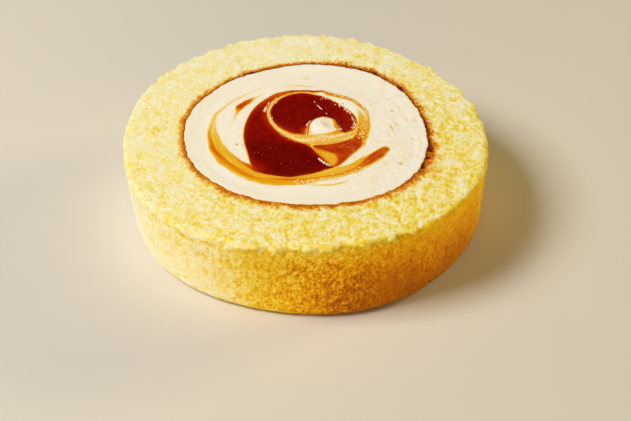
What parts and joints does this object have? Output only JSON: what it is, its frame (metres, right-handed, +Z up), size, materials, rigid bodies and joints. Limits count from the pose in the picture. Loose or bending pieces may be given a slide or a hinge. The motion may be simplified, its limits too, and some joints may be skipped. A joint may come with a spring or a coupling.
{
  "type": "pudding roll cake slice",
  "caption": "Round slice of rolled sponge cake lying on its cut face, with a whipped cream centre and a glossy caramel swirl.",
  "frame": {"origin": "middle of the slice's box, at its foot", "axes": "+Z up through the slice's thickness, -Y towards the front of the slice, +X to the right"},
  "size_m": [0.0898, 0.0938, 0.0227],
  "materials": {
    "sponge": "soft open crumb, pale yellow, with a thin browned skin round the filling",
    "cream": "whipped cream, satin, spread smooth",
    "caramel": "glossy dark caramel sauce, orange where it thins"
  },
  "bodies": {
    "root": {"sponge": "sponge", "cream": "cream", "caramel_crescent": "caramel", "caramel_pool": "caramel"}
  },
  "joints": []
}
